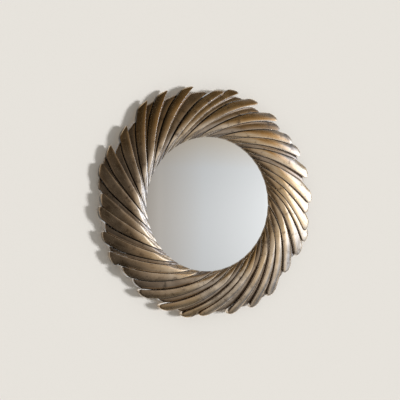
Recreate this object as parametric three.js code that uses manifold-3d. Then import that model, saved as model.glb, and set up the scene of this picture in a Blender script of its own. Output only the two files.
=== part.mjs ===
// Round convex wall mirror in a wreath of overlapping carved plumes.
//
// Frame: the origin is the centre of the backing disc's rear face, which lies against the wall.
// The front looks along -Y, +X is to the viewer's right and +Z is up. "Height" below always means
// the distance in front of the wall, so a point at height h has y = -h. Angles run anticlockwise
// from +X as seen from the front. All sizes are in millimetres and degrees.

import * as THREE from "three";
import { mergeVertices } from "three/addons/utils/BufferGeometryUtils.js";
import Module from "manifold-3d";

// ---- Mirror glass -----------------------------------------------------------------------------
const sightRadius = 300; // visible glass, inside the inner ends of the plumes
const lipOverlap = 6; // how far the plumes cover the glass edge
const glassThickness = 4;
const glassBulge = 12; // the centre stands this far in front of the edge
const glassEdgeHeight = 24; // front of the glass at its edge
const glassRings = 5;
const glassSegments = 72;

// ---- Backing disc -----------------------------------------------------------------------------
const discInset = 80; // the disc ends this far inside the wreath's radius
const discDeck = 14; // thickness under the plumes
const discChamfer = 3;
const glassClearance = 1; // round the glass edge, on the raised middle it lies on
const plateauClearance = 2; // between that raised middle and the plumes' undersides
const discSegments = 72;

// ---- Plumes -----------------------------------------------------------------------------------
const seatGap = 0.3; // between a piece and what it rests on
const plumeGap = 1; // open joint between two neighbouring plumes, square to the joint
const lipRise = 3; // front of the plumes above the glass at the sight edge
const crestRadius = 372; // where the wreath stands highest
const crestHeight = 67;
const wreathRadius = 520; // plain radius of the wreath; each plume's tip stands out or in from it
const fallDepth = 29; // the face has dropped this much at the wreath's radius
const fallPower = 1.7;
const crown = 3; // the middle of a plume stands this far above its edges
const rake = 0.08; // a plume's face falls this much per millimetre from its front to its rear edge
const rakePivot = 30; // distance from the front edge where the raked face has its plain height
const frontBevel = 3; // width and depth of the bevel along a plume's front edge
const bevelShare = 0.15; // the bevel takes at most this share of the width
const bevelFade = 60; // the bevel grows over this distance from the sight edge
const bevelRoot = 0.3; // share of the bevel that is left at the sight edge
const tipLift = 5; // the underside lifts this much from the disc's edge to the tip
const tipLiftInset = 75; // that lift starts this far inside the wreath's radius
const nose = 4; // extra drop at the very tip
const underDrop = 11; // lower plumes lie this far below the upper ones
const topRise = 3; // the few topmost plumes lie this far above the others
const layerFade = 80; // the layers part over this distance from the sight edge
const rootTurn = 8.02; // a plume's width at the sight edge, in degrees round it
const underRootTurn = 11.46; // the same for a lower plume, most of it covered
const underRootDraw = 20; // a lower plume's front edge is drawn this far forward at the sight edge
const shoulderTurn = 8.02; // width at the shoulder and beyond, in degrees round the wreath's radius
const shoulderLean = 1.234; // it is more at the lower right and less at the upper left
const shoulderLeanPhase = 50;
const shoulderInset = 50; // the shoulder lies this far inside the wreath's radius
const tipTaper = 60; // a plume narrows over this distance from its tip
const tipShare = 0.86; // share of its width that is left at the tip
const tipPeak = 0.7; // where in that width, from the front edge, the end reaches furthest out
const tipPeakSwing = 0.15; // further back at the lower right
const tipPhase = 40;
const rearCorner = 9; // the end's rounded corners, measured outward
const frontCorner = 24;
const frontCornerSwing = 8; // the front corner is longer at the lower right
const pointedAngle = 125; // round here, at the upper left, the tips come to a point at the front
const pointedPower = 3;
const pointedPeak = 0.4;
const pointedCorner = 14;
const tipSetback = 10; // the front edge's curve starts this far inside the reach
const sweepRootInset = 30; // the sweep curves are tangent to a circle this far inside the sight edge
const sweepPower = 1.75;
const sweepMean = 62; // angle a front edge turns through from tip to that circle
const sweepOval = 13; // the sweep is shorter at the sides than above and below
const sweepOvalPhase = 20;
const sweepLean = 5;
const sweepLeanPhase = 63;
const bowMean = 7.3; // the middle of a front edge is bowed this far forward
const bowOval = 6.8;
const bowOvalPhase = 16;
const bowLean = 2.8;
const bowLeanPhase = -28;
const overrun = 4; // how far a plume runs on under the next one
const leastWidth = 2;
const neighbourReach = 45; // plumes further apart than this never meet
const tipClear = 9; // the joint runs on this far past the tip of a shorter plume
const faceSteps = 2;
const bodySteps = 9; // sections between the sight edge and the wreath's radius
const leastStep = 0.6; // a section is left out when it would come closer than this to another
const boundStep = 1; // the edges are searched for changes at this step
const lipStep = 1; // the underside drops from the glass to the disc over this distance
const tipDepths = [27, 18, 11, 6, 2.5, 0.7, 0]; // sections this far inside the tip

// ---- Hangers ----------------------------------------------------------------------------------
const hangerOffset = 190; // sideways from the centre
const hangerRaise = 180; // above the centre, to the ring's axis
const pocketWidth = 46;
const pocketLength = 80;
const pocketDepth = 10;
const pocketCorner = 8;
const wireRadius = 1.8;
const wireClearance = 0.3; // between the ring's bar and the knuckle
const knuckleWall = 1.8;
const knuckleWidth = 14;
const strapWidth = 16;
const strapLength = 15; // from the ring's axis to the strap's rounded end
const strapThickness = 1.6;
const screwRadius = 3.6;
const screwTopRadius = 2.2;
const screwHeight = 1.5;
const ringHalfWidth = 13; // to the wire's centre line
const ringLength = 27; // from the bar's axis to the bow's centre line
const wireSides = 8;
const bowSteps = 14;
const roundSteps = 10;

// ---- Finishes ---------------------------------------------------------------------------------
const giltUpper = new THREE.MeshStandardMaterial({ color: 0x8f7a5e, roughness: 0.42, metalness: 0.75 });
const giltLower = new THREE.MeshStandardMaterial({ color: 0x6b5d4f, roughness: 0.5, metalness: 0.7 });
const silvered = new THREE.MeshStandardMaterial({ color: 0xd6dadb, roughness: 0.03, metalness: 1 });
const board = new THREE.MeshStandardMaterial({ color: 0x4a4038, roughness: 0.8, metalness: 0 });
const zinc = new THREE.MeshStandardMaterial({ color: 0xb8b8b4, roughness: 0.35, metalness: 1 });

// Each plume: angle of its tip's front corner, how far the tip stands out from the wreath's radius,
// layer (0 under, 1 over, 2 top).
const UNDER = 0;
const OVER = 1;
const TOP = 2;
const plumes = [
  [359.4, 7, TOP], [10.2, -25, UNDER], [12.7, 6, OVER], [22.5, -22, UNDER], [25, 2, OVER],
  [33.3, -11, TOP], [43, -20, UNDER], [48, 0, OVER], [58.8, -30, UNDER], [62, 3, OVER],
  [71.4, -17, UNDER], [74.3, 7, OVER], [82.9, -10, TOP], [92.4, -20, UNDER], [99.8, 7, OVER],
  [108.8, -15, UNDER], [113.2, 17, OVER], [121.6, 0, UNDER], [124.5, 18, OVER],
  [135.9, -20, UNDER], [140.3, -3, OVER], [147.7, -23, UNDER], [152, 8, OVER], [156.9, 3, UNDER],
  [161.1, 13, OVER], [166.7, 1, UNDER], [174.5, -12, OVER], [180.6, -4, TOP], [188.6, -24, UNDER],
  [192.4, -3, OVER], [199.8, -18, UNDER], [202.3, -2, OVER], [212.1, -22, TOP],
  [220.3, -30, UNDER], [226.3, -11, OVER], [236.5, -40, UNDER], [239.4, -9, OVER],
  [249.4, -30, UNDER], [252.2, -9, OVER], [261.3, -24, TOP], [269.3, -37, UNDER],
  [277.9, -14, OVER], [286.4, -24, UNDER], [291, 0, OVER], [298.5, -12, UNDER], [302.6, 3, OVER],
  [312.7, -28, UNDER], [317.8, -17, OVER], [327.4, -24, UNDER], [329.6, -2, OVER],
  [338.3, 10, OVER], [344.5, -3, OVER], [353.7, -13, OVER],
].map(([angle, stand, layer], index) => ({ angle, reach: wreathRadius + stand, layer, index }));

const radians = THREE.MathUtils.degToRad;
const degrees = THREE.MathUtils.radToDeg;
const clamp = THREE.MathUtils.clamp;

// A point in front of the wall, from its polar place and its height.
function place(radius, angle, height) {
  const turn = radians(angle);
  return [radius * Math.cos(turn), -height, radius * Math.sin(turn)];
}

// ---- Glass and disc profiles ------------------------------------------------------------------
const glassRadius = sightRadius + lipOverlap;
const glassSeat = glassEdgeHeight - glassThickness - seatGap;
const plateauRadius = glassRadius + glassClearance;
const lipEnd = plateauRadius + plateauClearance;
const discRadius = wreathRadius - discInset;

function glassFront(radius) {
  return glassEdgeHeight + glassBulge * (1 - (radius / glassRadius) ** 2);
}

// A profile of (radius, height) turned about the mirror's axis, front towards -Y.
function turned(profile, segments) {
  const points = profile.map(([radius, height]) => new THREE.Vector2(radius, height));
  return new THREE.LatheGeometry(points, segments).rotateX(Math.PI);
}

function glassGeometry() {
  const back = [];
  const front = [];
  for (let ring = 0; ring <= glassRings; ring += 1) {
    const radius = (glassRadius * ring) / glassRings;
    back.push([radius, glassFront(radius) - glassThickness]);
    front.unshift([radius, glassFront(radius)]);
  }
  return turned([...back, ...front], glassSegments);
}

function discGeometry() {
  return turned(
    [
      [0, 0],
      [discRadius, 0],
      [discRadius, discDeck - discChamfer],
      [discRadius - discChamfer, discDeck],
      [plateauRadius, discDeck],
      [plateauRadius, glassSeat],
      [0, glassSeat],
    ],
    discSegments,
  );
}

// ---- Plume outlines ---------------------------------------------------------------------------
const shoulderRadius = wreathRadius - shoulderInset;
const shoulderWidth = radians(shoulderTurn) * wreathRadius;
const shoulderSwing = radians(shoulderLean) * wreathRadius;
const tipLiftStart = wreathRadius - tipLiftInset;
const sweepRootRadius = sightRadius - sweepRootInset;
const bodyStep = (wreathRadius - sightRadius) / bodySteps;
const bodyRadii = Array.from({ length: bodySteps - 1 }, (_, index) => sightRadius + (index + 1) * bodyStep);

// The wreath's face: a steep rise from the sight edge, a round crest and a fall to the tips.
const lipHeight = glassFront(sightRadius) + lipRise;

function faceHeight(radius) {
  if (radius < crestRadius) {
    const inward = clamp((crestRadius - radius) / (crestRadius - sightRadius), 0, 1);
    return lipHeight + (crestHeight - lipHeight) * (1 - inward ** 2);
  }
  const outward = (radius - crestRadius) / (wreathRadius - crestRadius);
  return crestHeight - fallDepth * outward ** fallPower;
}

function cosine(angle) {
  return Math.cos(radians(angle));
}

// How far a plume turns from root to tip; it varies round the wreath, as the carving does.
function sweepAngle(angle) {
  const oval = sweepOval * cosine(2 * angle + sweepOvalPhase);
  return sweepMean - oval + sweepLean * cosine(angle + sweepLeanPhase);
}

function bow(angle) {
  const oval = bowOval * cosine(2 * angle + bowOvalPhase);
  return bowMean + oval + bowLean * cosine(angle + bowLeanPhase);
}

// A quarter of an ellipse at the tip: 0 at the tip's end, 1 where the rounded corner has run out.
function cornerShare(plume, radius, length) {
  const inside = clamp((plume.reach - radius) / length, 0, 1);
  return Math.sqrt(1 - (1 - inside) ** 2);
}

function outwardShare(radius) {
  return clamp((radius - sightRadius) / (shoulderRadius - sightRadius), 0, 1);
}

// The front edge's curve at a radius, as an angle; at the tip the rounded end leaves it.
function frontLine(plume, radius) {
  const { angle, reach, layer } = plume;
  const start = reach - tipSetback - sweepRootRadius;
  const along = ((radius - sweepRootRadius) / start) ** (1 / sweepPower);
  const share = clamp((radius - sightRadius) / (reach - sightRadius), 0, 1);
  const draw = layer === UNDER ? underRootDraw * (1 - outwardShare(radius)) : 0;
  const forward = bow(angle) * Math.sin(Math.PI * share) + draw;
  return angle + sweepAngle(angle) * (1 - along) - degrees(forward / radius);
}

// The plume's width along the ring; it is enough to run under the next plume.
function ownWidth(plume, radius) {
  const root = radians(plume.layer === UNDER ? underRootTurn : rootTurn) * sightRadius;
  const shoulder = shoulderWidth + shoulderSwing * cosine(plume.angle + shoulderLeanPhase);
  const width = root + (shoulder - root) * outwardShare(radius);
  const following = plumes[(plume.index + 1) % plumes.length];
  if (following.layer < plume.layer) return width;
  const line = frontLine(following, Math.min(radius, following.reach));
  const turn = turnBetween(frontLine(plume, radius), line);
  return Math.max(width, radians(turn) * radius + overrun);
}

// The plume's own two edges at a radius, as angles, before its neighbours cover them.
function ownEdges(plume, radius) {
  const inside = clamp((plume.reach - radius) / tipTaper, 0, 1);
  const width = ownWidth(plume, radius) * (tipShare + (1 - tipShare) * inside);
  const side = cosine(plume.angle + tipPhase);
  const pointed = Math.max(0, cosine(plume.angle - pointedAngle)) ** pointedPower;
  const peak = tipPeak + tipPeakSwing * side - pointedPeak * pointed;
  const corner = frontCorner + frontCornerSwing * side - pointedCorner * pointed;
  const front = peak * (1 - cornerShare(plume, radius, corner));
  const rear = peak + (1 - peak) * cornerShare(plume, radius, rearCorner);
  const line = frontLine(plume, radius);
  return [line + degrees((front * width) / radius), line + degrees((rear * width) / radius)];
}

// The joint's width as an angle round the ring; the edges cross the ring at a slant.
function jointAngle(plume, radius) {
  const step = 1;
  const turn = radians(ownEdges(plume, radius - step)[0] - ownEdges(plume, radius)[0]);
  const slant = Math.atan2(step, Math.max(turn * radius, 0));
  return degrees(plumeGap / Math.sin(slant) / radius);
}

// Whether a near neighbour lies over the plume: a higher layer does, and so does the next in line.
function isCoveredBy(plume, other) {
  const apart = turnBetween(plume.angle, other.angle);
  if (other === plume || Math.abs(apart) > neighbourReach) return false;
  return other.layer === plume.layer ? apart > 0 : other.layer > plume.layer;
}

// The signed turn from one angle to another, between -180 and 180.
function turnBetween(from, to) {
  return ((((to - from + 180) % 360) + 360) % 360) - 180;
}

// The visible width at a radius: the plume's own edges, drawn back where a neighbour lies over it.
function openEdges(plume, radius) {
  let [front, rear] = ownEdges(plume, radius);
  let frontBy = null;
  let rearBy = null;
  for (const other of plumes.filter((near) => isCoveredBy(plume, near))) {
    if (radius > other.reach + tipClear) continue;
    const at = Math.min(radius, other.reach);
    const [otherFront, otherRear] = ownEdges(other, at);
    const joint = jointAngle(other, Math.min(at, other.reach - tipDepths[0]));
    const turn = turnBetween(plume.angle, other.angle);
    const wrap = plume.angle + turn - other.angle;
    const bound = turn > 0 ? otherFront + wrap - joint : otherRear + wrap + joint;
    if (turn > 0 && bound < rear) {
      rear = bound;
      rearBy = other;
    }
    if (turn < 0 && bound > front) {
      front = bound;
      frontBy = other;
    }
  }
  return { front, rear, frontBy, rearBy };
}

function tipRadii(plume) {
  return tipDepths.map((depth) => plume.reach - depth);
}

// Where the neighbours bound a plume: the radii at their tips, and those where one takes over
// from another.
function boundRadii(plume) {
  const bounds = new Set();
  const changes = [];
  let before = openEdges(plume, sightRadius);
  for (let radius = sightRadius; radius < plume.reach; radius += boundStep) {
    const now = openEdges(plume, radius);
    if (now.frontBy !== before.frontBy || now.rearBy !== before.rearBy) changes.push(radius);
    for (const neighbour of [now.frontBy, now.rearBy]) if (neighbour) bounds.add(neighbour);
    before = now;
  }
  return [...changes, ...[...bounds].flatMap(tipRadii)];
}

// The radii of a plume's sections: those of its own tip and of the tips that end upon it, so that
// two neighbouring edges bend at the same places.
function plumeRadii(plume) {
  const radii = [sightRadius, lipEnd, lipEnd + lipStep, ...tipRadii(plume)];
  for (const radius of [...boundRadii(plume), ...bodyRadii]) {
    const inside = radius > lipEnd && radius < plume.reach;
    if (inside && radii.every((taken) => Math.abs(taken - radius) > leastStep)) radii.push(radius);
  }
  return radii.sort((inner, outer) => inner - outer);
}

// The stretch of stations, counted from the tip, where the plume shows between its neighbours.
function plumeStations(plume) {
  const stations = plumeRadii(plume).map((radius) => {
    const { front, rear } = openEdges(plume, radius);
    return { radius, front, rear, width: radians(rear - front) * radius };
  });
  const tip = stations[stations.length - 1];
  if (tip.width < leastWidth) {
    tip.front = tip.rear - degrees(leastWidth / tip.radius);
    tip.width = leastWidth;
  }
  const shown = [];
  for (const station of stations.reverse()) {
    if (station.width >= leastWidth) shown.unshift(station);
    else if (shown.length > 2) break;
    else shown.length = 0;
  }
  return shown;
}

// The underside lies over the glass edge, then on the disc, and lifts past the disc's edge.
function undersideHeight(plume, radius) {
  if (radius < lipEnd + lipStep / 2) return seatGap + glassFront(sightRadius);
  const outward = clamp((radius - tipLiftStart) / (plume.reach - tipLiftStart), 0, 1);
  return seatGap + discDeck + tipLift * outward;
}

// Height of a plume's face at a distance from its front edge.
function frontHeight(plume, radius, distance, width) {
  const parted = clamp((radius - sightRadius) / layerFade, 0, 1);
  const layer = plume.layer === UNDER ? -underDrop : plume.layer === TOP ? topRise : 0;
  const raked = faceHeight(radius) + parted * (layer + rake * (rakePivot - distance));
  const rise = crown * Math.min(1, width / shoulderWidth) * (1 - ((2 * distance) / width - 1) ** 2);
  return raked + rise - nose * (1 - cornerShare(plume, radius, rearCorner));
}

// A plume: sections across it from the sight edge to the tip, joined to one closed body.
function plumeGeometry(plume) {
  const points = [];
  const faces = [];
  const stations = plumeStations(plume);
  for (const { radius, front, rear, width } of stations) {
    const grown = clamp((radius - sightRadius) / bevelFade, bevelRoot, 1);
    const bevel = Math.min(frontBevel, width * bevelShare) * grown;
    const corner = frontHeight(plume, radius, 0, width) - bevel;
    points.push(place(radius, front, corner));
    for (let step = 0; step <= faceSteps; step += 1) {
      const distance = bevel + ((width - bevel) * step) / faceSteps;
      const angle = front + ((rear - front) * distance) / width;
      points.push(place(radius, angle, frontHeight(plume, radius, distance, width)));
    }
    points.push(place(radius, rear, undersideHeight(plume, radius)));
    points.push(place(radius, front, undersideHeight(plume, radius)));
  }
  const ring = faceSteps + 4;
  for (let station = 0; station + 1 < stations.length; station += 1) {
    for (let corner = 0; corner < ring; corner += 1) {
      const next = (corner + 1) % ring;
      const inner = station * ring;
      const outer = inner + ring;
      faces.push(inner + corner, outer + next, inner + next);
      faces.push(inner + corner, outer + corner, outer + next);
    }
  }
  const last = (stations.length - 1) * ring;
  for (let corner = 1; corner + 1 < ring; corner += 1) {
    faces.push(0, corner, corner + 1);
    faces.push(last, last + corner + 1, last + corner);
  }
  const geometry = new THREE.BufferGeometry();
  geometry.setAttribute("position", new THREE.Float32BufferAttribute(points.flat(), 3));
  geometry.setIndex(faces);
  geometry.computeVertexNormals();
  return geometry;
}

// ---- Joining and cutting ----------------------------------------------------------------------
const wasm = await Module();
wasm.setup();

function solid(geometry) {
  const bare = geometry.clone();
  bare.deleteAttribute("normal");
  bare.deleteAttribute("uv");
  const merged = mergeVertices(bare, 1e-4);
  return new wasm.Manifold(
    new wasm.Mesh({
      numProp: 3,
      vertProperties: Float32Array.from(merged.attributes.position.array),
      triVerts: Uint32Array.from(merged.index.array),
    }),
  );
}

function geometryOf(manifold) {
  const mesh = manifold.getMesh();
  const geometry = new THREE.BufferGeometry();
  geometry.setAttribute("position", new THREE.Float32BufferAttribute(mesh.vertProperties, 3));
  geometry.setIndex(Array.from(mesh.triVerts));
  geometry.computeVertexNormals();
  return geometry;
}

// ---- Hanger pockets, straps and rings ---------------------------------------------------------
const knuckleBore = wireRadius + wireClearance;
const knuckleRadius = knuckleBore + knuckleWall;
const strapBack = pocketDepth - seatGap;
const ringHeight = strapBack - knuckleRadius;

// A flat outline in X and Z, given a thickness between two heights.
function plate(shape, lowHeight, highHeight) {
  const depth = highHeight - lowHeight;
  const geometry = new THREE.ExtrudeGeometry(shape, { depth, bevelEnabled: false, curveSegments: 6 });
  return geometry.rotateX(Math.PI / 2).translate(0, -lowHeight, 0);
}

function roundedRectangle(width, length, corner) {
  const x = width / 2;
  const z = length / 2;
  const shape = new THREE.Shape();
  shape.absarc(x - corner, z - corner, corner, 0, Math.PI / 2);
  shape.absarc(-x + corner, z - corner, corner, Math.PI / 2, Math.PI);
  shape.absarc(-x + corner, -z + corner, corner, Math.PI, 1.5 * Math.PI);
  shape.absarc(x - corner, -z + corner, corner, 1.5 * Math.PI, 2 * Math.PI);
  return shape;
}

function pocketCutter(side) {
  const mouth = 1; // the cutter starts this far behind the rear face
  return plate(roundedRectangle(pocketWidth, pocketLength, pocketCorner), -mouth, pocketDepth)
    .translate(side * hangerOffset, 0, hangerRaise);
}

function discWithPockets() {
  let disc = solid(discGeometry());
  for (const side of [-1, 1]) disc = disc.subtract(solid(pocketCutter(side)));
  return geometryOf(disc);
}

// The strap lies on the pocket's floor; its knuckle wraps the ring's bar, and a screw holds it.
function strapGeometry() {
  const outline = new THREE.Shape();
  const half = strapWidth / 2;
  outline.moveTo(half, 0);
  outline.lineTo(-half, 0);
  outline.lineTo(-half, half - strapLength);
  outline.absarc(0, half - strapLength, half, Math.PI, 2 * Math.PI);
  const blade = plate(outline, strapBack - strapThickness, strapBack);
  const tube = new THREE.Shape().absarc(0, 0, knuckleRadius, 0, 2 * Math.PI);
  tube.holes.push(new THREE.Path().absarc(0, 0, knuckleBore, 0, 2 * Math.PI, true));
  const knuckle = new THREE.ExtrudeGeometry(tube, {
    depth: knuckleWidth,
    bevelEnabled: false,
    curveSegments: roundSteps,
  })
    .translate(0, 0, -knuckleWidth / 2)
    .rotateY(Math.PI / 2)
    .translate(0, -ringHeight, 0);
  const bore = new THREE.CylinderGeometry(knuckleBore, knuckleBore, 2 * strapWidth, 2 * roundSteps)
    .rotateZ(Math.PI / 2)
    .translate(0, -ringHeight, 0);
  const head = new THREE.CylinderGeometry(screwRadius, screwTopRadius, screwHeight * 2, 2 * roundSteps)
    .translate(0, -(strapBack - strapThickness), half - strapLength);
  return geometryOf(solid(blade).subtract(solid(bore)).add(solid(knuckle)).add(solid(head)));
}

// The ring hangs down: a bow of wire closed by a straight bar along X, which is its hinge.
function ringGeometry() {
  const straight = ringLength - ringHalfWidth;
  const corner = (x, z) => new THREE.Vector3(x, 0, z);
  const arc = [];
  for (let step = 0; step <= bowSteps; step += 1) {
    const turn = Math.PI + (Math.PI * step) / bowSteps;
    arc.push(corner(ringHalfWidth * Math.cos(turn), ringHalfWidth * Math.sin(turn) - straight));
  }
  const corners = [];
  for (let side = 0; side < wireSides; side += 1) {
    const turn = (2 * Math.PI * side) / wireSides;
    corners.push(new THREE.Vector2(wireRadius * Math.cos(turn), wireRadius * Math.sin(turn)));
  }
  const section = new THREE.Shape(corners);
  const wire = new THREE.ExtrudeGeometry(section, {
    extrudePath: new ArcPath([corner(-ringHalfWidth, 0), ...arc, corner(ringHalfWidth, 0)]),
    steps: bowSteps + 2,
    bevelEnabled: false,
  });
  const barLength = 2 * (ringHalfWidth + wireRadius);
  const bar = new THREE.CylinderGeometry(wireRadius, wireRadius, barLength, 2 * wireSides)
    .rotateZ(Math.PI / 2);
  return geometryOf(solid(wire).add(solid(bar)));
}

// A path through given points, one step per point.
class ArcPath extends THREE.Curve {
  constructor(points) {
    super();
    this.points = points;
  }
  getPoint(share) {
    const scaled = share * (this.points.length - 1);
    const first = Math.min(Math.floor(scaled), this.points.length - 2);
    return this.points[first].clone().lerp(this.points[first + 1], scaled - first);
  }
  getPointAt(share) {
    return this.getPoint(share);
  }
}

// ---- Assembly ---------------------------------------------------------------------------------
const mirror = new THREE.Group();

function add(name, geometry, material, group = mirror) {
  const mesh = new THREE.Mesh(geometry, material);
  mesh.name = name;
  group.add(mesh);
  return mesh;
}

add("mirror_glass", glassGeometry(), silvered);
add("backing_disc", discWithPockets(), board);
for (const plume of plumes) {
  const number = String(plume.index + 1).padStart(2, "0");
  add(`plume_${number}`, plumeGeometry(plume), plume.layer === UNDER ? giltLower : giltUpper);
}
for (const [side, name] of [[-1, "left"], [1, "right"]]) {
  const hanger = new THREE.Group();
  hanger.position.set(side * hangerOffset, 0, hangerRaise);
  mirror.add(hanger);
  add(`hanger_strap_${name}`, strapGeometry(), zinc, hanger);
  add(`hanger_ring_${name}`, ringGeometry(), zinc, hanger).position.set(0, -ringHeight, 0);
}

export default mirror;
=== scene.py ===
"""Round convex wall mirror in a wreath of overlapping carved plumes.

The origin is the centre of the disc's rear face, which lies against the wall. The mirror looks
along -Y, +X is to the viewer's right and +Z is up. A height is the distance in front of the wall.
The plumes are worked out in millimetres and degrees, as they are in the CAD model, and made in
metres.
"""
import math

import bmesh
import bpy
from mathutils import Matrix, Vector


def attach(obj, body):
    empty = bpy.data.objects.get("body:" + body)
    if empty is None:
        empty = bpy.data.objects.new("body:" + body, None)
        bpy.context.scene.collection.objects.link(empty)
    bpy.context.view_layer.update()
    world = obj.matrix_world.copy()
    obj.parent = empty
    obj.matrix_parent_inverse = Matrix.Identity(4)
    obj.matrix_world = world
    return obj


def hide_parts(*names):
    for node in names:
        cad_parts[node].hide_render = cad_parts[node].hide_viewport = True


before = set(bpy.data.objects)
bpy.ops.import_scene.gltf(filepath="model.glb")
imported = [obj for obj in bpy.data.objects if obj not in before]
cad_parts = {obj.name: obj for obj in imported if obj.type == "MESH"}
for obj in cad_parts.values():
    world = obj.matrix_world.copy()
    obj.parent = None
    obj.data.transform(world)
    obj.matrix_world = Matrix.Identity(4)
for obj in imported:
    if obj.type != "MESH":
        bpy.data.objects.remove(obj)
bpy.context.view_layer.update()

MM = 0.001
MERGE_WITHIN = 1e-6
SMOOTH_BELOW = 40.0  # faces that meet at less than this angle are shaded as one
GLASS_SMOOTH_BELOW = 30.0

# ---- Glass and disc ------------------------------------------------------------------------------
SIGHT_RADIUS = 300.0  # how much of the glass shows
GLASS_RADIUS = 306.0
GLASS_THICKNESS = 4.0
GLASS_BULGE = 12.0
GLASS_EDGE_HEIGHT = 24.0
GLASS_RINGS = 30
GLASS_TURNS = 160
GLASS_ARRIS = 0.6  # the ground edge of the glass
DISC_DECK = 14.0  # the disc's front face, where the plumes are seated
LIP_END = 309.0  # the plumes' lip over the edge of the glass ends here
LIP_STEP = 1.0
LIP_CLEAR = 4.0

# ---- Plumes --------------------------------------------------------------------------------------
SEAT_GAP = 0.3
PLUME_GAP = 1.0  # the open joint between two plumes
LIP_RISE = 3.0
CREST_RADIUS = 372.0
CREST_HEIGHT = 67.0
FALL_RADIUS = 520.0
FALL_DEPTH = 29.0
FALL_POWER = 1.7
CROWN = 3.0  # the swell of the face across a plume
RAKE = 0.08  # the face's slope across, lower towards the rear edge
RAKE_PIVOT = 30.0
TIP_LIFT = 5.0
TIP_LIFT_START = 445.0
NOSE = 4.0  # how far the face rolls over at the tip
UNDER_DROP = 11.0
TOP_RISE = 3.0
LAYER_FADE = 80.0  # the layers part over this length from the sight edge
ROOT_WIDTH = 42.0
UNDER_ROOT_WIDTH = 60.0
UNDER_ROOT_DRAW = 20.0
SHOULDER_WIDTH = 72.8
SHOULDER_LEAN = 11.2
SHOULDER_LEAN_PHASE = 50.0
SHOULDER_RADIUS = 470.0
TIP_TAPER = 60.0
TIP_SHARE = 0.86
TIP_PEAK = 0.7
TIP_PEAK_SWING = 0.15
TIP_PHASE = 40.0
POINTED_ANGLE = 125.0
POINTED_POWER = 3
POINTED_PEAK = 0.4
POINTED_CORNER = 14.0
REAR_CORNER = 9.0
FRONT_CORNER = 24.0
FRONT_CORNER_SWING = 8.0
TIP_SETBACK = 10.0
SWEEP_ROOT_RADIUS = 270.0
SWEEP_POWER = 1.75
# How far a plume turns from root to tip, and how far its front edge is bowed: a mean, a part that
# comes and goes twice round the wreath and a part that does so once.
SWEEP_MEAN = 62.0
SWEEP_OVAL = 13.0
SWEEP_OVAL_PHASE = 20.0
SWEEP_LEAN = 5.0
SWEEP_LEAN_PHASE = 63.0
BOW_MEAN = 7.3
BOW_OVAL = 6.8
BOW_OVAL_PHASE = 16.0
BOW_LEAN = 2.8
BOW_LEAN_PHASE = -28.0
OVERRUN = 4.0  # how far a plume runs under the next
LEAST_WIDTH = 2.0
WIDTH_SLACK = 0.999  # lets through a least width that was rounded down
TIP_WITHIN = 0.01  # a section this near the tip's end is the end
NEIGHBOUR_REACH = 45.0  # plumes further round than this never meet
TIP_CLEAR = 9.0
FRONT_ROUND = 4.0
REAR_ROUND = 1.0
ROUND_SHARE = 0.15
ROUND_FADE = 60.0
ROUND_ROOT = 0.3
ROUND_STEPS = 4
FACE_STEPS = 6
TIP_DEPTHS = [0, 0.25, 1, 2.2, 4, 6.2, 9, 12.5, 17, 22, 27]
FINE_STEP = 5.0
FINE_FROM = 425.0
COARSE_STEP = 9.0
GRAIN_STEP = 0.37  # each plume has rubbing marks of its own

UNDER, OVER, TOP = 0, 1, 2
# Angle of the tip's front corner, reach from the centre and layer, anticlockwise from the right.
PLUMES = [
    (359.4, 527, TOP), (10.2, 495, UNDER), (12.7, 526, OVER), (22.5, 498, UNDER), (25, 522, OVER),
    (33.3, 509, TOP), (43, 500, UNDER), (48, 520, OVER), (58.8, 490, UNDER), (62, 523, OVER),
    (71.4, 503, UNDER), (74.3, 527, OVER), (82.9, 510, TOP), (92.4, 500, UNDER), (99.8, 527, OVER),
    (108.8, 505, UNDER), (113.2, 537, OVER), (121.6, 520, UNDER), (124.5, 538, OVER),
    (135.9, 500, UNDER), (140.3, 517, OVER), (147.7, 497, UNDER), (152, 528, OVER),
    (156.9, 523, UNDER), (161.1, 533, OVER), (166.7, 521, UNDER), (174.5, 508, OVER),
    (180.6, 516, TOP), (188.6, 496, UNDER), (192.4, 517, OVER), (199.8, 502, UNDER),
    (202.3, 518, OVER), (212.1, 498, TOP), (220.3, 490, UNDER), (226.3, 509, OVER),
    (236.5, 480, UNDER), (239.4, 511, OVER), (249.4, 490, UNDER), (252.2, 511, OVER),
    (261.3, 496, TOP), (269.3, 483, UNDER), (277.9, 506, OVER), (286.4, 496, UNDER),
    (291, 520, OVER), (298.5, 508, UNDER), (302.6, 523, OVER), (312.7, 492, UNDER),
    (317.8, 503, OVER), (327.4, 496, UNDER), (329.6, 518, OVER), (338.3, 530, OVER),
    (344.5, 517, OVER), (353.7, 507, OVER),
]


def clamp(value, low, high):
    return max(low, min(high, value))


def glass_front(radius):
    return GLASS_EDGE_HEIGHT + GLASS_BULGE * (1 - (radius / GLASS_RADIUS) ** 2)


LIP_HEIGHT = glass_front(SIGHT_RADIUS) + LIP_RISE


def face_height(radius):
    """The wreath's face: a steep rise from the sight edge, a round crest and a fall to the tips."""
    if radius < CREST_RADIUS:
        inward = clamp((CREST_RADIUS - radius) / (CREST_RADIUS - SIGHT_RADIUS), 0, 1)
        return LIP_HEIGHT + (CREST_HEIGHT - LIP_HEIGHT) * (1 - inward**2)
    outward = (radius - CREST_RADIUS) / (FALL_RADIUS - CREST_RADIUS)
    return CREST_HEIGHT - FALL_DEPTH * outward**FALL_POWER


def cosine(degrees):
    return math.cos(math.radians(degrees))


def sweep_angle(angle):
    """How far the plume turns from root to tip; it varies round the wreath, as the carving does."""
    oval = SWEEP_OVAL * cosine(2 * angle + SWEEP_OVAL_PHASE)
    return SWEEP_MEAN - oval + SWEEP_LEAN * cosine(angle + SWEEP_LEAN_PHASE)


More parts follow.
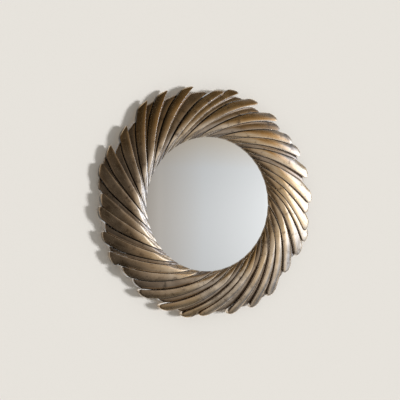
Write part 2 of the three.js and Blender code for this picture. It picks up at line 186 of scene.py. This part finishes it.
def bow(angle):
    """How far the middle of the front edge is bowed forward."""
    oval = BOW_OVAL * cosine(2 * angle + BOW_OVAL_PHASE)
    return BOW_MEAN + oval + BOW_LEAN * cosine(angle + BOW_LEAN_PHASE)


def corner_share(plume, radius, length):
    """A quarter of an ellipse at the tip: 0 at the end, 1 where the rounded corner has run out."""
    inside = clamp((plume[1] - radius) / length, 0, 1)
    return math.sqrt(1 - (1 - inside) ** 2)


def turn_between(start, end):
    return (end - start + 180) % 360 - 180


def front_line(plume, radius):
    """The front edge's curve at a radius, as an angle; at the tip the rounded end leaves it."""
    angle, reach, layer = plume
    start = reach - TIP_SETBACK - SWEEP_ROOT_RADIUS
    along = ((radius - SWEEP_ROOT_RADIUS) / start) ** (1 / SWEEP_POWER)
    share = clamp((radius - SIGHT_RADIUS) / (reach - SIGHT_RADIUS), 0, 1)
    forward = bow(angle) * math.sin(math.pi * share)
    if layer == UNDER:
        forward += UNDER_ROOT_DRAW * (1 - outward_share(radius))
    return angle + sweep_angle(angle) * (1 - along) - math.degrees(forward / radius)


def outward_share(radius):
    return clamp((radius - SIGHT_RADIUS) / (SHOULDER_RADIUS - SIGHT_RADIUS), 0, 1)


def own_width(plume, radius):
    """The plume's width along the ring; it is enough to run under the next plume."""
    angle, _, layer = plume
    root = UNDER_ROOT_WIDTH if layer == UNDER else ROOT_WIDTH
    shoulder = SHOULDER_WIDTH + SHOULDER_LEAN * cosine(angle + SHOULDER_LEAN_PHASE)
    width = root + (shoulder - root) * outward_share(radius)
    following = PLUMES[(PLUMES.index(plume) + 1) % len(PLUMES)]
    if following[2] < layer:
        return width
    turn = turn_between(front_line(plume, radius), front_line(following, min(radius, following[1])))
    return max(width, math.radians(turn) * radius + OVERRUN)


def own_edges(plume, radius):
    """The plume's two edges at a radius, as angles, before its neighbours cover them."""
    inside = clamp((plume[1] - radius) / TIP_TAPER, 0, 1)
    width = own_width(plume, radius) * (TIP_SHARE + (1 - TIP_SHARE) * inside)
    side = cosine(plume[0] + TIP_PHASE)
    pointed = max(0, cosine(plume[0] - POINTED_ANGLE)) ** POINTED_POWER
    peak = TIP_PEAK + TIP_PEAK_SWING * side - POINTED_PEAK * pointed
    corner = FRONT_CORNER + FRONT_CORNER_SWING * side - POINTED_CORNER * pointed
    front = peak * (1 - corner_share(plume, radius, corner))
    rear = peak + (1 - peak) * corner_share(plume, radius, REAR_CORNER)
    line = front_line(plume, radius)
    return line + math.degrees(front * width / radius), line + math.degrees(rear * width / radius)


def joint_angle(plume, radius):
    """The open joint's width as an angle round the ring; the edges cross the ring at a slant."""
    turn = math.radians(own_edges(plume, radius - 1)[0] - own_edges(plume, radius)[0])
    slant = math.atan2(1, max(turn * radius, 0))
    return math.degrees(PLUME_GAP / math.sin(slant) / radius)


def covering(plume):
    """The near neighbours that lie over the plume: a higher layer does, and so does the next."""
    above = []
    for other in PLUMES:
        turn = turn_between(plume[0], other[0])
        if other == plume or abs(turn) > NEIGHBOUR_REACH:
            continue
        if other[2] > plume[2] or (other[2] == plume[2] and turn > 0):
            above.append((other, turn))
    return above


def open_edges(plume, radius, above):
    """The plume's edges, drawn back where a neighbour lies over it."""
    front, rear = own_edges(plume, radius)
    for other, turn in above:
        if radius > other[1] + TIP_CLEAR:
            continue
        at = min(radius, other[1])
        other_front, other_rear = own_edges(other, at)
        joint = joint_angle(other, min(at, other[1] - TIP_DEPTHS[-1]))
        wrap = plume[0] + turn - other[0]
        if turn > 0:
            rear = min(rear, other_front + wrap - joint)
        else:
            front = max(front, other_rear + wrap + joint)
    return front, rear


def plume_radii(plume):
    """Radii of the sections, close together round the tip and looser towards the glass."""
    reach = plume[1]
    radii = [reach - depth for depth in TIP_DEPTHS]
    radius = radii[-1] - FINE_STEP
    while radius > LIP_END + LIP_CLEAR:
        radii.append(radius)
        radius -= FINE_STEP if radius > FINE_FROM else COARSE_STEP
    return sorted(radii + [SIGHT_RADIUS, LIP_END, LIP_END + LIP_STEP])


def plume_sections(plume):
    """(radius, front, rear) where the plume shows between its neighbours, from root to tip."""
    above = covering(plume)
    sections = []
    for radius in plume_radii(plume):
        front, rear = open_edges(plume, radius, above)
        at_tip = radius >= plume[1] - TIP_WITHIN
        if at_tip and math.radians(rear - front) * radius < LEAST_WIDTH:
            front = rear - math.degrees(LEAST_WIDTH / radius)
        sections.append((radius, front, rear))
    shown = []
    for radius, front, rear in reversed(sections):
        if math.radians(rear - front) * radius >= LEAST_WIDTH * WIDTH_SLACK:
            shown.insert(0, (radius, front, rear))
        elif len(shown) > 2:
            break
        else:
            shown = []
    return shown


def underside_height(plume, radius):
    """The underside lies over the glass edge, then on the disc, and lifts past the disc's edge."""
    if radius < LIP_END + LIP_STEP / 2:
        return SEAT_GAP + glass_front(SIGHT_RADIUS)
    lifted = clamp((radius - TIP_LIFT_START) / (plume[1] - TIP_LIFT_START), 0, 1)
    return SEAT_GAP + DISC_DECK + TIP_LIFT * lifted


def section_profile(width, radius):
    """(distance from the front edge, drop) across a section: the front edge's round, the face and
    the smaller round of the rear edge. Both rounds grow from the root."""
    grown = clamp((radius - SIGHT_RADIUS) / ROUND_FADE, ROUND_ROOT, 1)
    front, rear = (min(size, width * ROUND_SHARE) * grown for size in (FRONT_ROUND, REAR_ROUND))
    quarter = [math.pi / 2 * k / ROUND_STEPS for k in range(ROUND_STEPS)]
    profile = [(front * (1 - math.cos(turn)), front * (1 - math.sin(turn))) for turn in quarter]
    face = width - front - rear
    profile += [(front + face * k / FACE_STEPS, 0.0) for k in range(FACE_STEPS + 1)]
    for turn in quarter[::-1]:
        profile.append((width - rear * (1 - math.cos(turn)), rear * (1 - math.sin(turn))))
    return profile


def front_height(plume, radius, place, width):
    """Height of the plume's face at a place across it, before its edges are rounded."""
    parted = clamp((radius - SIGHT_RADIUS) / LAYER_FADE, 0, 1)
    layer = {UNDER: -UNDER_DROP, OVER: 0.0, TOP: TOP_RISE}[plume[2]]
    height = face_height(radius) + parted * (layer + RAKE * (RAKE_PIVOT - place))
    height += CROWN * min(1, width / SHOULDER_WIDTH) * (1 - (2 * place / width - 1) ** 2)
    return height - NOSE * (1 - corner_share(plume, radius, REAR_CORNER))


def new_piece(name, bm, body, material, smooth_below=SMOOTH_BELOW):
    """Turns a bmesh into a finished piece that rides on a body and wears a material."""
    mesh = bpy.data.meshes.new(name)
    bm.to_mesh(mesh)
    bm.free()
    for face in mesh.polygons:
        face.use_smooth = True
    mesh.set_sharp_from_angle(angle=math.radians(smooth_below))
    piece = bpy.data.objects.new(name, mesh)
    bpy.context.scene.collection.objects.link(piece)
    mesh.materials.append(material)
    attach(piece, body)
    return piece


def make_plume(number, plume, material):
    """The plume's face as a grid of sections, with walls that go down to the underside."""
    sections = plume_sections(plume)
    columns = 2 * ROUND_STEPS + FACE_STEPS
    bm = bmesh.new()
    place_layer = bm.verts.layers.float_vector.new("place")
    bmesh.ops.create_grid(bm, x_segments=columns, y_segments=len(sections) - 1, size=1)
    for vert in bm.verts:
        column = round((vert.co.x + 1) / 2 * columns)
        row = round((vert.co.y + 1) / 2 * (len(sections) - 1))
        radius, front, rear = sections[row]
        width = math.radians(rear - front) * radius
        place, drop = section_profile(width, radius)[column]
        share = place / width
        height = front_height(plume, radius, place, width) - drop
        turn = math.radians(front + (rear - front) * share)
        vert.co = Vector((radius * math.cos(turn), -height, radius * math.sin(turn))) * MM
        vert[place_layer] = Vector((share, (plume[1] - radius) * MM, number * GRAIN_STEP))
    top = bm.faces[:]
    walls = bmesh.ops.extrude_face_region(bm, geom=top)["geom"]
    for vert in (part for part in walls if isinstance(part, bmesh.types.BMVert)):
        radius = math.hypot(vert.co.x, vert.co.z) / MM
        vert.co.y = -underside_height(plume, radius) * MM
    bmesh.ops.recalc_face_normals(bm, faces=bm.faces[:])
    piece = new_piece(f"leaf_{number:02d}", bm, "mirror", material)
    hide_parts(f"plume_{number:02d}")


# ---- Finishes ------------------------------------------------------------------------------------
def linear(colour):
    """An sRGB hex colour as the linear RGBA that a shader takes."""
    parts = [int(colour[k : k + 2], 16) / 255 for k in (1, 3, 5)]
    return [c / 12.92 if c <= 0.04045 else ((c + 0.055) / 1.055) ** 2.4 for c in parts] + [1.0]


def add(tree, kind, links=None, **settings):
    """Adds a node; links gives its inputs, by name or number, a value or another node's output."""
    new = tree.nodes.new(kind)
    for name, value in settings.items():
        setattr(new, name, value)
    for name, value in (links or {}).items():
        socket = new.inputs[name]
        if isinstance(value, bpy.types.NodeSocket):
            tree.links.new(value, socket)
        else:
            socket.default_value = value
    return new


def new_material(name):
    material = bpy.data.materials.new(name)
    material.use_nodes = True
    material.node_tree.nodes.clear()
    return material, material.node_tree


def finish_surface(tree, shader):
    add(tree, "ShaderNodeOutputMaterial", {"Surface": shader.outputs[0]})


def blend(tree, factor, first, second):
    """Mixes two colours; a colour may be a hex value or an output."""
    first, second = (linear(c) if isinstance(c, str) else c for c in (first, second))
    mixer = add(tree, "ShaderNodeMix", {0: factor, 6: first, 7: second}, data_type="RGBA")
    return mixer.outputs[2]


def ramp(tree, value, low, high, top=1.0, bottom=0.0):
    """Maps a value from low..high to bottom..top, held at both ends."""
    mapped = add(tree, "ShaderNodeMapRange", {0: value, 1: low, 2: high, 3: bottom, 4: top})
    return mapped.outputs[0]


def maths(tree, operation, first, second=0.0):
    return add(tree, "ShaderNodeMath", {0: first, 1: second}, operation=operation).outputs[0]


def object_place(tree):
    """The place on the object, in metres."""
    return add(tree, "ShaderNodeTexCoord").outputs["Object"]


def noise(tree, where, scale, detail, roughness=0.5):
    """Cloudy noise. The scale is the number of its largest clouds to a metre."""
    settings = {"Vector": where, "Scale": scale, "Detail": detail, "Roughness": roughness}
    return add(tree, "ShaderNodeTexNoise", settings).outputs[0]


# Dark of the band along the joints: partly wax, partly painted shade.
WAX_AND_JOINT_SHADE = "#1c1510"
# Pale of the front arris line: partly polished metal, partly a painted highlight.
POLISHED_AND_HIGHLIGHT = "#f6ede2"
LEAF_ROUGHNESS = 0.19
WORN_ROUGHNESS = 0.2  # added where the leaf is worn
LACQUER_WEIGHT = 0.7
LACQUER_ROUGHNESS = 0.12
RUBBING_ACROSS = 0.045  # a plume's width on the rubbing, in metres
RUBBING_ALONG = 0.04  # draws the marks out to 25 times their width


def antique_leaf(name, pale, middle, gold, bole, metal):
    """Metal leaf over dark bole on carved wood, rubbed back and toned. It gives the eye a satin
    gilt face with fine lengthwise rubbing, brown bole where hands wore the leaf, pale arrises that
    are partly polished metal and partly a painted highlight, a dark band along the rear edge that
    is partly wax and partly painted shade at the joint, and a thin clear lacquer, which whitens
    the brightest lights."""
    material, tree = new_material(name)
    place = add(tree, "ShaderNodeAttribute", attribute_name="place", attribute_type="GEOMETRY")
    share, along, seed = add(tree, "ShaderNodeSeparateXYZ", {0: place.outputs["Vector"]}).outputs
    where = object_place(tree)
    # Rubbing marks run with the plume. They are drawn 4 mm apart and 100 mm long, coarser than they
    # are, so that they show.
    across = maths(tree, "MULTIPLY", share, RUBBING_ACROSS)
    length = maths(tree, "MULTIPLY", along, RUBBING_ALONG)
    lane = add(tree, "ShaderNodeCombineXYZ", {0: across, 1: length, 2: seed})
    rubbing = noise(tree, lane.outputs[0], 250.0, 3.0)
    clouds = noise(tree, where, 16.0, 5.0, 0.6)  # toning settles in clouds about 60 mm across
    warmth = noise(tree, where, 3.2, 2.0)  # stretches of warmer gold, 300 mm and more
    worn = noise(tree, where, 34.0, 6.0, 0.65)  # worn patches, up to 30 mm
    tone = blend(tree, ramp(tree, clouds, 0.38, 0.62), middle, pale)
    tone = blend(tree, ramp(tree, warmth, 0.42, 0.6, 0.75), tone, gold)
    tone = blend(tree, maths(tree, "MULTIPLY", ramp(tree, rubbing, 0.35, 0.68), 0.6), tone, pale)
    tone = blend(tree, ramp(tree, worn, 0.55, 0.71, 0.8), tone, bole)
    # A dark band along the rear edge: partly wax, partly painted shade under the joint.
    tone = blend(tree, ramp(tree, share, 0.92, 0.98, 0.92), tone, WAX_AND_JOINT_SHADE)
    # A pale line along the front arris, partly polished metal and partly a painted highlight.
    front_rub_and_highlight = ramp(tree, share, 0.07, 0.015, 0.9)
    arris_rub_and_highlight = maths(tree, "MULTIPLY", front_rub_and_highlight, ramp(tree, along, 0.006, 0.04))
    tone = blend(tree, arris_rub_and_highlight, tone, POLISHED_AND_HIGHLIGHT)
    rough = maths(tree, "ADD", ramp(tree, worn, 0.45, 0.75, WORN_ROUGHNESS), LEAF_ROUGHNESS)
    bump = add(tree, "ShaderNodeBump", {"Height": rubbing, "Strength": 0.12, "Distance": 0.00012})
    shader = add(
        tree,
        "ShaderNodeBsdfPrincipled",
        {
            "Base Color": tone,
            "Metallic": metal,
            "Roughness": rough,
            "Normal": bump.outputs[0],
            "Coat Weight": LACQUER_WEIGHT,
            "Coat Roughness": LACQUER_ROUGHNESS,
        },
    )
    finish_surface(tree, shader)
    return material


# The leaf's pale, middle and warmer gold tones, the bole under it and how metallic it is.
CHAMPAGNE = ("#cdb9a0", "#8f7c64", "#bc965c", "#4a3520", 0.96)
BRONZE = ("#a29280", "#7b6c5c", "#927654", "#3c2f23", 0.9)
leaf_upper = antique_leaf("champagne_leaf_rubbed", *CHAMPAGNE)
leaf_lower = antique_leaf("bronze_leaf_toned", *BRONZE)


def silvered_glass():
    """Float glass, bent and silvered behind: a clean bright mirror with a very faint cool cast."""
    material, tree = new_material("silvered_float_glass")
    haze = noise(tree, object_place(tree), 3.0, 2.0)  # a third of a metre across
    silver = blend(tree, haze, "#e4e6e6", "#e9eaea")
    rough = ramp(tree, haze, 0.3, 0.7, 0.05, 0.03)
    settings = {"Base Color": silver, "Metallic": 1.0, "Roughness": rough}
    finish_surface(tree, add(tree, "ShaderNodeBsdfPrincipled", settings))
    return material


def stained_board():
    """Fibreboard with a thin dark stain: matt, with the faint mottle of pressed fibres."""
    material, tree = new_material("stained_fibreboard")
    where = object_place(tree)
    fibres = noise(tree, where, 900.0, 3.0)  # about a millimetre
    mottle = noise(tree, where, 25.0, 4.0)  # patches of 40 mm
    tone = blend(tree, mottle, "#2f2822", "#40372f")
    tone = blend(tree, ramp(tree, fibres, 0.4, 0.7, 0.35), tone, "#5a4e42")
    bump = add(tree, "ShaderNodeBump", {"Height": fibres, "Strength": 0.3, "Distance": 0.0003})
    settings = {"Base Color": tone, "Roughness": 0.78, "Normal": bump.outputs[0]}
    finish_surface(tree, add(tree, "ShaderNodeBsdfPrincipled", settings))
    return material


def zinc_plate():
    """Pressed steel, bright zinc plated: a cool satin metal with a faint spangle, 1.5 mm across."""
    material, tree = new_material("zinc_plated_steel")
    cells = {"Vector": object_place(tree), "Scale": 700.0}
    spangle = add(tree, "ShaderNodeTexVoronoi", cells).outputs[0]
    tone = blend(tree, ramp(tree, spangle, 0.0, 1.0), "#aeb0b0", "#c9cbca")
    rough = ramp(tree, spangle, 0.0, 1.0, 0.42, 0.28)
    settings = {"Base Color": tone, "Metallic": 1.0, "Roughness": rough}
    finish_surface(tree, add(tree, "ShaderNodeBsdfPrincipled", settings))
    return material


glass_finish = silvered_glass()
board_finish = stained_board()
zinc_finish = zinc_plate()


# ---- Pieces --------------------------------------------------------------------------------------
def make_glass():
    """The bent glass, a profile spun about the mirror's axis, its edge lightly ground."""
    bm = bmesh.new()
    edge_height = glass_front(GLASS_RADIUS)
    rings = [GLASS_RADIUS * k / GLASS_RINGS for k in range(GLASS_RINGS)]
    front = [(radius, glass_front(radius)) for radius in rings]
    back = [(radius, glass_front(radius) - GLASS_THICKNESS) for radius in rings]
    rim = [
        (GLASS_RADIUS - GLASS_ARRIS, edge_height),
        (GLASS_RADIUS, edge_height - GLASS_ARRIS),
        (GLASS_RADIUS, edge_height - GLASS_THICKNESS + GLASS_ARRIS),
        (GLASS_RADIUS - GLASS_ARRIS, edge_height - GLASS_THICKNESS),
    ]
    profile = front + rim + back[::-1]
    verts = [bm.verts.new((radius * MM, -height * MM, 0)) for radius, height in profile]
    edges = [bm.edges.new(pair) for pair in zip(verts, verts[1:])]
    bmesh.ops.spin(
        bm,
        geom=verts + edges,
        axis=(0, 1, 0),
        cent=(0, 0, 0),
        angle=math.tau,
        steps=GLASS_TURNS,
        use_merge=True,
    )
    bmesh.ops.remove_doubles(bm, verts=bm.verts[:], dist=MERGE_WITHIN)
    bmesh.ops.recalc_face_normals(bm, faces=bm.faces[:])
    piece = new_piece("bent_glass", bm, "mirror", glass_finish, GLASS_SMOOTH_BELOW)
    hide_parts("mirror_glass")


make_glass()
for number, plume in enumerate(PLUMES, 1):
    if plume[2] == UNDER:
        make_plume(number, plume, leaf_lower)
    else:
        make_plume(number, plume, leaf_upper)


def wear(node, material):
    """Gives a CAD node its finish."""
    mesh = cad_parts[node].data
    mesh.materials.clear()
    mesh.materials.append(material)


wear("backing_disc", board_finish)
for side in ("left", "right"):
    wear(f"hanger_strap_{side}", zinc_finish)
    wear(f"hanger_ring_{side}", zinc_finish)

# ---- Wall, light and camera ----------------------------------------------------------------------
# Sizes, places and radii are in metres from here on.
WALL_GAP = 0.0008
WALL_SIZE = 7.0
WALL_SHOWN_FROM = 0.49  # outside this radius the wall shows in the metal, fully from the next
WALL_SHOWN_FULL = 0.52
CARD_SIZE = 12.0
CARD_DEPTH = -0.8
# The card's brightness adds up from stretches across it: where each starts and ends, and its level
# before and after.
CARD_STRETCHES = [
    (-0.5, -0.05, 0.1, 0.63),
    (0.0, 0.9, 0.0, 0.42),
    (0.85, 1.6, 0.0, 1.0),
    (-0.9, -2.4, 0.0, 0.5),  # for looks from the right
]
CARD_MIDDLE = -0.15  # the card is brightest at this height
CARD_FALL = 1.43  # the square of the distance from there to where it is dimmest
CARD_LEAST = 0.2
WINDOW_START = 1.1  # how far aside the window begins, and where it is at its full level
WINDOW_FULL = 1.8
WINDOW_LEVEL = 3.8
WINDOW_MIDDLE = 0.4  # its middle height, half its full height and where it has faded out
WINDOW_HALF = 0.3
WINDOW_FADE = 1.0
ROOM_CREAM = "#e8d6c2"
ROOM_WHITE = "#f8f9fa"
LAMP_AMBER = "#ecc57c"
WINDOW_BLUE = "#c4d8fa"
AMBIENT_LEVEL = 0.45


def pale_wall():
    """Smooth white emulsion on plaster. Looks from the front meet it, and so does what the rims of
    the plumes show; all else passes, so that the back can be seen and lit."""
    material, tree = new_material("white_emulsion")
    where = object_place(tree)
    roller = noise(tree, where, 260.0, 2.0)  # the roller's stipple, 4 mm
    tone = blend(tree, roller, "#dcdad6", "#e2e0dc")
    front = add(tree, "ShaderNodeBsdfDiffuse", {"Color": tone})
    through = add(tree, "ShaderNodeBsdfTransparent")
    behind = add(tree, "ShaderNodeNewGeometry").outputs["Backfacing"]
    rays = add(tree, "ShaderNodeLightPath").outputs
    radius = add(tree, "ShaderNodeVectorMath", {0: where}, operation="LENGTH").outputs["Value"]
    outside = ramp(tree, radius, WALL_SHOWN_FROM, WALL_SHOWN_FULL)
    rim = maths(tree, "MULTIPLY", rays["Is Glossy Ray"], outside)
    shown = maths(tree, "SUBTRACT", maths(tree, "MAXIMUM", rays["Is Camera Ray"], rim), behind)
    mixed = {0: shown, 1: through.outputs[0], 2: front.outputs[0]}
    finish_surface(tree, add(tree, "ShaderNodeMixShader", mixed))
    return material


def soft_card():
    """A wide light card: dim and warm at the left, pale to the right, brightest at the far right,
    like a room with a window. It goes dimmer above and below, and warmer above."""
    material, tree = new_material("soft_light_card")
    parts = add(tree, "ShaderNodeSeparateXYZ", {0: object_place(tree)}).outputs
    aside, upward = parts["X"], parts["Z"]
    level = 0.0
    for start, end, before, after in CARD_STRETCHES:
        level = maths(tree, "ADD", level, ramp(tree, aside, start, end, after, before))
    off_middle = maths(tree, "SUBTRACT", upward, CARD_MIDDLE)
    fall = maths(tree, "MULTIPLY", off_middle, off_middle)
    level = maths(tree, "MULTIPLY", level, ramp(tree, fall, 0.0, CARD_FALL, CARD_LEAST, 1.0))
    off_window = maths(tree, "ABSOLUTE", maths(tree, "SUBTRACT", upward, WINDOW_MIDDLE))
    window = ramp(tree, aside, WINDOW_START, WINDOW_FULL, WINDOW_LEVEL)
    window = maths(tree, "MULTIPLY", window, ramp(tree, off_window, WINDOW_FADE, WINDOW_HALF))
    # Cream at the left, white from the middle on, amber above and blue at the window.
    colour = blend(tree, ramp(tree, aside, -0.4, 0.3), ROOM_CREAM, ROOM_WHITE)
    colour = blend(tree, ramp(tree, upward, 0.25, 0.9), colour, LAMP_AMBER)
    colour = blend(tree, ramp(tree, aside, 1.0, 1.9), colour, WINDOW_BLUE)
    light = {"Color": colour, "Strength": maths(tree, "ADD", level, window)}
    finish_surface(tree, add(tree, "ShaderNodeEmission", light))
    return material


def add_screen(name, size, depth, material):
    """A flat screen that stands upright, facing the mirror's own way."""
    bm = bmesh.new()
    bmesh.ops.create_grid(bm, x_segments=1, y_segments=1, size=size / 2)
    bmesh.ops.rotate(bm, verts=bm.verts[:], matrix=Matrix.Rotation(math.radians(90), 3, "X"))
    bmesh.ops.translate(bm, verts=bm.verts[:], vec=(0, depth, 0))
    mesh = bpy.data.meshes.new(name)
    bm.to_mesh(mesh)
    bm.free()
    mesh.materials.append(material)
    screen = bpy.data.objects.new(name, mesh)
    bpy.context.scene.collection.objects.link(screen)
    return screen


add_screen("wall", WALL_SIZE, WALL_GAP, pale_wall())
card = add_screen("soft_card", CARD_SIZE, CARD_DEPTH, soft_card())
card.visible_camera = False
card.visible_diffuse = False
card.visible_shadow = False
card.visible_transmission = False

world = bpy.data.worlds.new("studio")
bpy.context.scene.world = world
world.use_nodes = True
tree = world.node_tree
tree.nodes.clear()
rays = add(tree, "ShaderNodeLightPath").outputs
seen = maths(tree, "MAXIMUM", rays["Is Camera Ray"], rays["Is Transmission Ray"])
seen = maths(tree, "MAXIMUM", seen, rays["Is Glossy Ray"])
warm_fill = {"Color": linear("#fffaf2"), "Strength": AMBIENT_LEVEL}
ambient = add(tree, "ShaderNodeBackground", warm_fill)
white = add(tree, "ShaderNodeBackground", {"Color": linear("#ffffff"), "Strength": 1.0})
mixed = add(tree, "ShaderNodeMixShader", {0: seen, 1: ambient.outputs[0], 2: white.outputs[0]})
add(tree, "ShaderNodeOutputWorld", {"Surface": mixed.outputs[0]})


def add_sun(name, source, strength, spread):
    """A white sun that shines from the source's direction, its disc spread over some degrees."""
    lamp = bpy.data.lights.new(name, "SUN")
    lamp.energy = strength
    lamp.angle = math.radians(spread)
    holder = bpy.data.objects.new(name, lamp)
    holder.rotation_euler = Vector(source).to_track_quat("Z", "Y").to_euler()
    holder.visible_glossy = False  # the metal shows the room instead
    bpy.context.scene.collection.objects.link(holder)


add_sun("key", (0.85, -0.75, -0.05), 3.0, 12)
add_sun("behind", (0.3, 0.85, 0.4), 1.8, 30)  # for looks at the back

CAMERA_DISTANCE = 3.5
CAMERA_AZIMUTH = 24.7
CAMERA_ELEVATION = 0.9
FOCAL_LENGTH = 70.5
SENSOR_WIDTH = 36
SHIFT_ASIDE = -0.0233
SHIFT_UP = 0.0105
AIM = Vector((0, -GLASS_EDGE_HEIGHT * MM, 0))
azimuth = math.radians(CAMERA_AZIMUTH)
elevation = math.radians(CAMERA_ELEVATION)
flat = math.cos(elevation)
away = Vector((-math.sin(azimuth) * flat, -math.cos(azimuth) * flat, math.sin(elevation)))
lens = bpy.data.cameras.new("camera")
lens.lens = FOCAL_LENGTH
lens.sensor_width = SENSOR_WIDTH
lens.shift_x = SHIFT_ASIDE
lens.shift_y = SHIFT_UP
camera = bpy.data.objects.new("camera", lens)
camera.location = AIM + away * CAMERA_DISTANCE
camera.rotation_euler = away.to_track_quat("Z", "Y").to_euler()
bpy.context.scene.collection.objects.link(camera)
bpy.context.scene.camera = camera
bpy.context.scene.view_settings.view_transform = "Standard"
